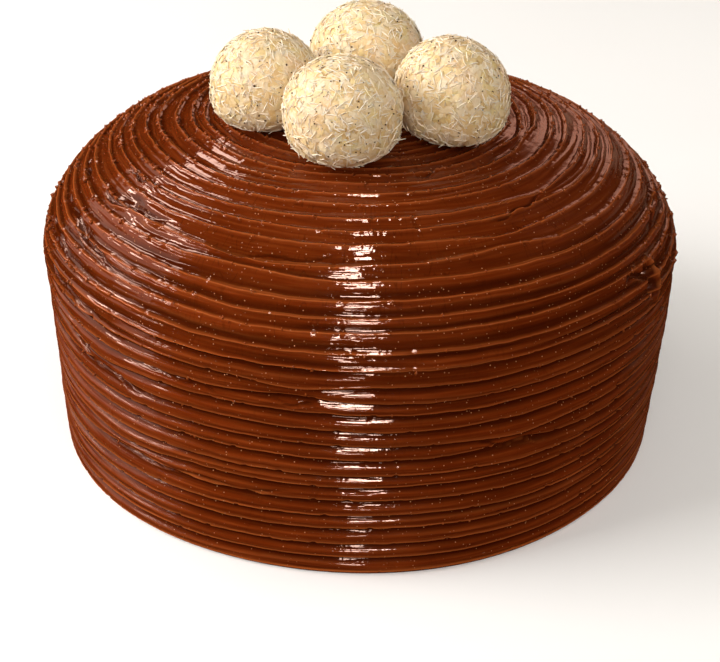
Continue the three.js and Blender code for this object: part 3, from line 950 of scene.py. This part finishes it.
def make_specks(material):
    """Tiny dark specks pressed into the truffles' coating."""
    ico, ico_faces = icosahedron()
    vertices, faces, total = [], [], 0
    for index, spec in enumerate(TRUFFLES):
        rng = np.random.default_rng(SPECK_SEED + index)
        direction = spread_directions(SPECKS_EACH, LOWEST_SPECK, rng)
        direction = unit(direction + rng.normal(0, SPECK_STRAYS, direction.shape))
        at = core_points(spec, direction, index)
        normal = core_normals(spec, direction, index)
        for p, q in zip(at, normal):
            size = rng.uniform(*SPECK_RADIUS) + SPECK_LARGER * rng.random() ** SPECK_RARITY
            shape = ico * size * rng.uniform(*SPECK_STRETCH, 3)
            place = p + q * rng.uniform(*SPECK_LIFT) + MIDDLES[index]
            if not clear_of_neighbours(place[None], index)[0] or not inside_box(shape + place).all():
                continue
            vertices.append(shape + place)
            faces.append(ico_faces + total)
            total += len(ico)
    faces = np.concatenate(faces).tolist()
    obj = new_object("truffle_specks", np.concatenate(vertices), faces, material)
    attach(obj, "root")


# ---- materials


class Nodes:
    """A small helper that builds the node tree of a material or a world."""

    def __init__(self, owner, shader="Principled BSDF"):
        owner.use_nodes = True
        self.owner = owner
        self.tree = owner.node_tree
        self.shader = self.tree.nodes[shader]

    def put(self, inputs):
        """Gives each socket a number, a colour or vector of its own, or another node's output."""
        for socket, value in inputs:
            if isinstance(value, bpy.types.NodeSocket):
                self.tree.links.new(value, socket)
            elif isinstance(value, tuple) and len(socket.default_value) > len(value):
                socket.default_value = (*value, 1.0)
            else:
                socket.default_value = value

    def add(self, kind, inputs=(), **properties):
        node = self.tree.nodes.new(kind)
        for key, value in properties.items():
            setattr(node, key, value)
        self.put((node.inputs[key], value) for key, value in dict(inputs).items())
        return node

    def shade(self, inputs):
        """Sets or drives inputs of the shader itself."""
        self.put((self.shader.inputs[key], value) for key, value in inputs.items())

    def place(self):
        return self.add("ShaderNodeTexCoord").outputs["Object"]

    def attribute(self, name):
        return self.add("ShaderNodeAttribute", attribute_name=name).outputs["Fac"]

    def noise(self, vector, scale, detail, roughness=0.5):
        inputs = {"Vector": vector, "Scale": scale, "Detail": detail, "Roughness": roughness}
        return self.add("ShaderNodeTexNoise", inputs).outputs["Fac"]

    def cells(self, vector, scale):
        """Small cells in space: the distance from each one's middle, and a random value for each."""
        cells = self.add("ShaderNodeTexVoronoi", {"Vector": vector, "Scale": scale}).outputs
        draw = self.add("ShaderNodeTexWhiteNoise", {"Vector": cells["Position"]}, noise_dimensions="3D")
        return cells["Distance"], draw.outputs["Value"]

    def ramp(self, value, stops):
        node = self.add("ShaderNodeValToRGB", {"Fac": value})
        ramp = node.color_ramp
        while len(ramp.elements) < len(stops):
            ramp.elements.new(0.5)
        for element, (position, colour) in zip(ramp.elements, stops):
            element.position = position
            element.color = (*colour, 1.0)
        return node.outputs["Color"]

    def range(self, value, a, b, c, d):
        """The value's way from a to b, as the same way from c to d, and no further."""
        inputs = {"Value": value, "From Min": a, "From Max": b, "To Min": c, "To Max": d}
        return self.add("ShaderNodeMapRange", inputs).outputs["Result"]

    def math(self, operation, *values):
        return self.add("ShaderNodeMath", enumerate(values), operation=operation).outputs[0]

    def times(self, a, b):
        return self.math("MULTIPLY", a, b)

    def mix(self, factor, a, b):
        node = self.add("ShaderNodeMix", data_type="RGBA")
        self.put(zip([i for i in node.inputs if i.enabled], (factor, a, b)))
        return [o for o in node.outputs if o.enabled][0]

    def bump(self, height, strength, distance, normal=None):
        inputs = {"Height": height, "Strength": strength, "Distance": distance}
        if normal is not None:
            inputs["Normal"] = normal
        return self.add("ShaderNodeBump", inputs).outputs["Normal"]


# Colours are linear. The frosting's, from the painted shade of its deep grooves to the painted glow of its
# thin edges, with the bubbles' painted glints.
GROOVE_SHADE_AND_CRACK = (0.040, 0.005, 0.0006)
COCOA_STREAK = (0.07, 0.009, 0.0010)
COCOA_DARK = (0.116, 0.0155, 0.0020)
COCOA = (0.160, 0.0230, 0.0032)
COCOA_LINE = (0.26, 0.050, 0.009)
COCOA_EDGE_GLOW = (0.50, 0.13, 0.03)
BUBBLE_GLINT = (0.60, 0.26, 0.12)
# Bubbles: cells for each metre, the share of cells with one, and a bubble's radius in the cells.
BUBBLE_CELLS, BUBBLE_SHARE, BUBBLE_RADIUS = 800.0, 0.46, 0.18
DOT_INNER, DOT_OUTER = 0.10, 0.20
# Comb marks, as waves round the cake and up it.
FINE_COMB, SOFT_COMB = (5.0, 1.2), (3.0, 0.55)
CRACKS, CRACK_BREAKS = (38.0, 0.09), (14.0, 0.30)
# The rougher sheen at the right and at the lower left.
SATIN_RIGHT, SATIN_LOW_LEFT = 0.12, 0.22


def frosting_material():
    n = Nodes(bpy.data.materials.new("chocolate_frosting"))
    place = n.place()
    # Around the cake as a point on a unit circle, with the distance up as the third axis.
    flat = n.add("ShaderNodeVectorMath", {0: place, 1: (1, 1, 0)}, operation="MULTIPLY")
    circle = n.add("ShaderNodeVectorMath", {0: flat.outputs[0]}, operation="NORMALIZE")
    x, y, _ = n.add("ShaderNodeSeparateXYZ", {0: circle.outputs[0]}).outputs
    up, edge_glow, groove_shade = (n.attribute(name) for name in ("up", "edge_glow", "groove_shade"))

    def combed(marks, detail):
        around, upward = marks
        inputs = {"X": n.times(x, around), "Y": n.times(y, around), "Z": n.times(up, upward)}
        return n.noise(n.add("ShaderNodeCombineXYZ", inputs).outputs[0], 1.0, detail)

    fine_lines = combed(FINE_COMB, 1.0)
    soft_lines = combed(SOFT_COMB, 1.0)
    wrinkles = n.noise(place, 300.0, 1.0)
    pores = n.noise(place, 1100.0, 0.0)
    mottling = n.noise(place, 38.0, 3.0)
    # Hairline cracks run across the ridges, most of them on the dome.
    off_line = n.math("ABSOLUTE", n.math("SUBTRACT", combed(CRACKS, 0.0), 0.5))
    cracks = n.times(n.range(off_line, 0.0, 0.03, 1.0, 0.0), n.range(up, 60.0, 100.0, 0.3, 1.0))
    cracks = n.times(cracks, n.range(combed(CRACK_BREAKS, 0.0), 0.45, 0.60, 0.0, 1.0))

    # Tiny bubbles stand out, and carry painted glints as pale dots.
    from_middle, draw = n.cells(place, BUBBLE_CELLS)
    chosen = n.math("LESS_THAN", draw, BUBBLE_SHARE)
    reach = n.range(from_middle, 0.0, BUBBLE_RADIUS, 0.0, 1.0)
    bubbles = n.times(n.math("SUBTRACT", 1.0, n.times(reach, reach)), chosen)
    bubble_glints = n.times(n.range(from_middle, DOT_INNER, DOT_OUTER, 1.0, 0.0), chosen)
    bubble_glints = n.times(bubble_glints, n.range(draw, 0.0, BUBBLE_SHARE, 0.9, 0.15))

    colour = n.ramp(mottling, [(0.3, COCOA_DARK), (0.7, COCOA)])
    colour = n.mix(n.range(fine_lines, 0.40, 0.75, 0.0, 0.45), colour, COCOA_LINE)
    colour = n.mix(n.range(soft_lines, 0.30, 0.50, 0.35, 0.0), colour, COCOA_STREAK)
    # Painted shade darkens the grooves, slits and holes, and the hairline cracks get the same dark colour.
    colour = n.mix(n.range(groove_shade, 0.22, 0.85, 0.0, 0.85), colour, GROOVE_SHADE_AND_CRACK)
    colour = n.mix(n.times(cracks, 0.5), colour, GROOVE_SHADE_AND_CRACK)
    # Painted glow and highlight on thin edges, lips, blobs and beads, stronger low down.
    colour = n.mix(n.times(edge_glow, n.range(up, 10.0, 60.0, 0.80, 0.50)), colour, COCOA_EDGE_GLOW)
    # The bubbles' painted glints.
    colour = n.mix(bubble_glints, colour, BUBBLE_GLINT)

    rough = n.range(mottling, 0.3, 0.7, 0.04, 0.08)
    rough = n.math("ADD", rough, n.range(x, 0.45, 0.80, 0.0, SATIN_RIGHT))
    low_left = n.times(n.range(x, -0.75, -0.35, 1.0, 0.0), n.range(up, 44.0, 66.0, 1.0, 0.0))
    rough = n.math("ADD", rough, n.times(low_left, SATIN_LOW_LEFT))

    calm = n.range(up, 84.0, 112.0, 1.0, 0.35)
    normal = n.bump(n.times(soft_lines, calm), 0.8, 0.00055)
    normal = n.bump(n.times(fine_lines, calm), 0.8, 0.00020, normal)
    normal = n.bump(wrinkles, 0.45, 0.00018, normal)
    normal = n.bump(pores, 0.5, 0.00004, normal)
    normal = n.bump(bubbles, 1.0, 0.00012, normal)
    n.shade({
        "Base Color": colour, "Roughness": rough, "Normal": normal,
        "Specular IOR Level": 0.5, "IOR": 1.46,
        "Subsurface Weight": 0.08, "Subsurface Radius": (1.0, 0.28, 0.10), "Subsurface Scale": 0.0012,
    })
    return n.owner


# White chocolate, from its brown crumbs to its palest shreds, and the tints of its patches and spots.
CREAM_STOPS = [
    (0.0, (0.60, 0.37, 0.12)), (0.3, (0.77, 0.56, 0.28)),
    (0.65, (0.83, 0.69, 0.47)), (1.0, (0.89, 0.82, 0.69)),
]
CREAM_PATCH = (0.85, 0.58, 0.37)
CREAM_SPOT = (0.82, 0.68, 0.28)
SHARD_CELLS = 800.0


def truffle_material(name, on_bits):
    """White chocolate. Its bits each have a tone of their own, and the core has small shards of tone."""
    n = Nodes(bpy.data.materials.new(name))
    place = n.place()
    patches = n.noise(place, 95.0, 2.0)
    spots = n.noise(place, 260.0, 3.0, 0.55)
    grain = n.noise(place, 1500.0, 3.0, 0.6)
    normal = n.bump(grain, 0.30, 0.0003)
    if on_bits:
        tone = n.attribute("tone")
    else:
        from_middle, tone = n.cells(place, SHARD_CELLS)
        normal = n.bump(from_middle, 0.6, 0.0004, normal)
    colour = n.ramp(tone, CREAM_STOPS)
    colour = n.mix(n.range(patches, 0.50, 0.75, 0.0, 0.40), colour, CREAM_PATCH)
    colour = n.mix(n.range(spots, 0.52, 0.72, 0.0, 0.55), colour, CREAM_SPOT)
    n.shade({
        "Base Color": colour, "Roughness": n.range(grain, 0.3, 0.7, 0.38, 0.58), "Normal": normal,
        "Subsurface Weight": 0.0 if on_bits else 0.5, "Subsurface Radius": (1.0, 0.75, 0.45),
        "Subsurface Scale": 0.0003 if on_bits else 0.0015,
    })
    return n.owner


SPECK_STOPS = [(0.3, (0.020, 0.009, 0.003)), (0.7, (0.10, 0.04, 0.012))]
FLOOR_STOPS = [(0.2, (0.86, 0.86, 0.855)), (0.8, (0.89, 0.89, 0.885))]


def speck_material():
    n = Nodes(bpy.data.materials.new("dark_specks"))
    colour = n.ramp(n.noise(n.place(), 700.0, 2.0, 0.55), SPECK_STOPS)
    n.shade({"Base Color": colour, "Roughness": 0.6, "Specular IOR Level": 0.1})
    return n.owner


def floor_material():
    n = Nodes(bpy.data.materials.new("pale_floor"))
    colour = n.ramp(n.noise(n.place(), 6.0, 2.0, 0.55), FLOOR_STOPS)
    n.shade({
        "Base Color": colour, "Roughness": 0.9,
        "Emission Color": (1.0, 1.0, 1.0), "Emission Strength": 0.12,
    })
    return n.owner


# ---- floor, lights and camera

FLOOR_REACH = 6000.0

# The world's colour from below and from above, with the height where each starts, from 0 to 1.
WORLD_STOPS = [(0.44, (0.27, 0.18, 0.11)), (0.58, (0.34, 0.315, 0.275))]
NEUTRAL = (1.0, 0.97, 0.94)
PEACH = (1.0, 0.66, 0.53)
ORANGE = (1.0, 0.47, 0.33)
LOW_WARM = (1.0, 0.58, 0.38)
# Lights: name, place, width, height, power, colour. They all face this point.
LIGHTS_FACE = Vector((0, 0, 0.07))
FILLS = [
    ("key_left", (-1.30, -0.30, 0.80), 1.0, 1.0, 28, NEUTRAL),
    ("fill_front", (0.10, -1.30, 0.75), 1.0, 0.8, 8, NEUTRAL),
    ("fill_left", (-1.50, 0.70, 0.70), 1.0, 0.8, 11, NEUTRAL),
    ("fill_right", (1.30, 0.30, 1.05), 0.8, 0.8, 4, NEUTRAL),
]
# The three panes stand side by side, because thin upright gaps cut the highlights down the front.
FRONT_GLINTS = [
    ("pane_left", (-0.080, -1.02, 1.08), 0.05, 0.38, 3.325, PEACH),
    ("pane_middle", (0.018, -1.02, 1.08), 0.13, 0.38, 8.645, PEACH),
    ("pane_right", (0.130, -1.02, 1.08), 0.07, 0.38, 4.655, PEACH),
    ("pane_high", (0.075, -0.62, 1.35), 0.12, 0.26, 6.0, PEACH),
    ("pane_low", (-0.03, -1.30, 0.22), 0.18, 0.16, 2.8, PEACH),
]
OTHER_GLINTS = [
    ("low_right", (1.03, 0.69, 0.14), 0.9, 0.26, 0.20, LOW_WARM),
    ("low_back", (0.45, 1.35, 0.14), 0.9, 0.26, 0.26, LOW_WARM),
    ("glint_left_high", (-0.53, 0.72, 0.915), 0.34, 0.25, 3.2, PEACH),
    ("streak_left", (-1.20, 0.10, 0.70), 1.0, 0.07, 7.5, PEACH),
    ("sheen_left", (-1.30, 0.20, 0.45), 1.4, 0.9, 5.0, PEACH),
    ("sheen_back", (0.43, 1.60, 0.72), 0.70, 0.40, 1.8, ORANGE),
]
RING_ACROSS, RING_HEIGHT, RING_POWER = 0.44, 0.0005, 0.02
RING_COLOUR = (1.0, 0.42, 0.17)


def make_floor():
    corners = FLOOR_REACH * np.array([[-1, -1, 0], [1, -1, 0], [1, 1, 0], [-1, 1, 0]])
    floor = new_object("floor", corners, [[0, 1, 2, 3]], floor_material(), smooth=False)
    # The dark frosting neither mirrors the pale floor nor takes light from it.
    floor.visible_diffuse = False
    floor.visible_glossy = False


def new_light(name, shape, across, power, colour):
    data = bpy.data.lights.new(name, "AREA")
    data.shape = shape
    data.size = across
    data.energy = power
    data.color = colour
    obj = bpy.data.objects.new(name, data)
    bpy.context.scene.collection.objects.link(obj)
    return obj


def area_light(name, place, width, height, power, colour, shine=True, fill=True):
    """A soft box that faces the cake. It may give highlights alone, or soft light alone."""
    obj = new_light(name, "RECTANGLE", width, power, colour)
    obj.data.size_y = height
    obj.location = place
    obj.rotation_euler = (LIGHTS_FACE - Vector(place)).to_track_quat("-Z", "Y").to_euler()
    obj.visible_glossy = shine
    obj.visible_diffuse = fill


def low_ring():
    """A dim warm disc under the foot of the cake, facing up. It shows only in the lower ridges' gloss."""
    obj = new_light("low_ring", "DISK", RING_ACROSS, RING_POWER, RING_COLOUR)
    obj.location = (0, 0, RING_HEIGHT)
    obj.rotation_euler = (math.pi, 0, 0)
    obj.visible_camera = False
    obj.visible_diffuse = False


def make_world():
    """Soft light from all round, warmer from below, that the gloss doesn't mirror."""
    world = bpy.data.worlds.new("studio")
    n = Nodes(world, shader="Background")
    way = n.add("ShaderNodeTexCoord").outputs["Generated"]
    up = n.add("ShaderNodeSeparateXYZ", {0: way}).outputs["Z"]
    n.shade({"Color": n.ramp(n.range(up, -1.0, 1.0, 0.0, 1.0), WORLD_STOPS)})
    world.cycles_visibility.glossy = False
    bpy.context.scene.world = world


def make_lights():
    make_world()
    for light in FILLS:
        area_light(*light, shine=False)
    for light in FRONT_GLINTS:
        area_light(*light, fill=False)
    low_ring()
    for light in OTHER_GLINTS:
        area_light(*light, fill=False)


CAMERA_PLACE = Vector((1.4, -478.7, 294.5)) * MM
CAMERA_TARGET = Vector((0.4, -11.1, 34.3)) * MM
CAMERA_ROLL = math.radians(1.403)
CAMERA_LENS, CAMERA_SENSOR = 77.92, 36
CAMERA_NEAR, CAMERA_FAR = 0.01, 50


def make_camera():
    forward = (CAMERA_TARGET - CAMERA_PLACE).normalized()
    right = forward.cross(Vector((0, 0, 1))).normalized()
    up = right.cross(forward)
    turned_right = right * math.cos(CAMERA_ROLL) + up * math.sin(CAMERA_ROLL)
    turned_up = up * math.cos(CAMERA_ROLL) - right * math.sin(CAMERA_ROLL)
    data = bpy.data.cameras.new("camera")
    data.sensor_width = CAMERA_SENSOR
    data.sensor_fit = "HORIZONTAL"
    data.lens = CAMERA_LENS
    data.clip_start = CAMERA_NEAR
    data.clip_end = CAMERA_FAR
    camera = bpy.data.objects.new("camera", data)
    bpy.context.scene.collection.objects.link(camera)
    matrix = Matrix((turned_right, turned_up, -forward)).transposed().to_4x4()
    matrix.translation = CAMERA_PLACE
    camera.matrix_world = matrix
    bpy.context.scene.camera = camera


make_camera()
make_lights()
make_floor()
chocolate = frosting_material()
make_frosting(chocolate)
make_beads(chocolate)
cream_core = truffle_material("cream_core", on_bits=False)
for number, truffle in enumerate(TRUFFLES):
    make_core(truffle, number, cream_core)
cream_bits = truffle_material("cream_bits", on_bits=True)
make_lying_pieces("truffle_flakes", flake_shapes, flake_pattern(), cream_bits)
make_lying_pieces("truffle_shreds", shred_shapes, shred_pattern(), cream_bits)
make_specks(speck_material())

bpy.context.scene.view_settings.view_transform = "Standard"
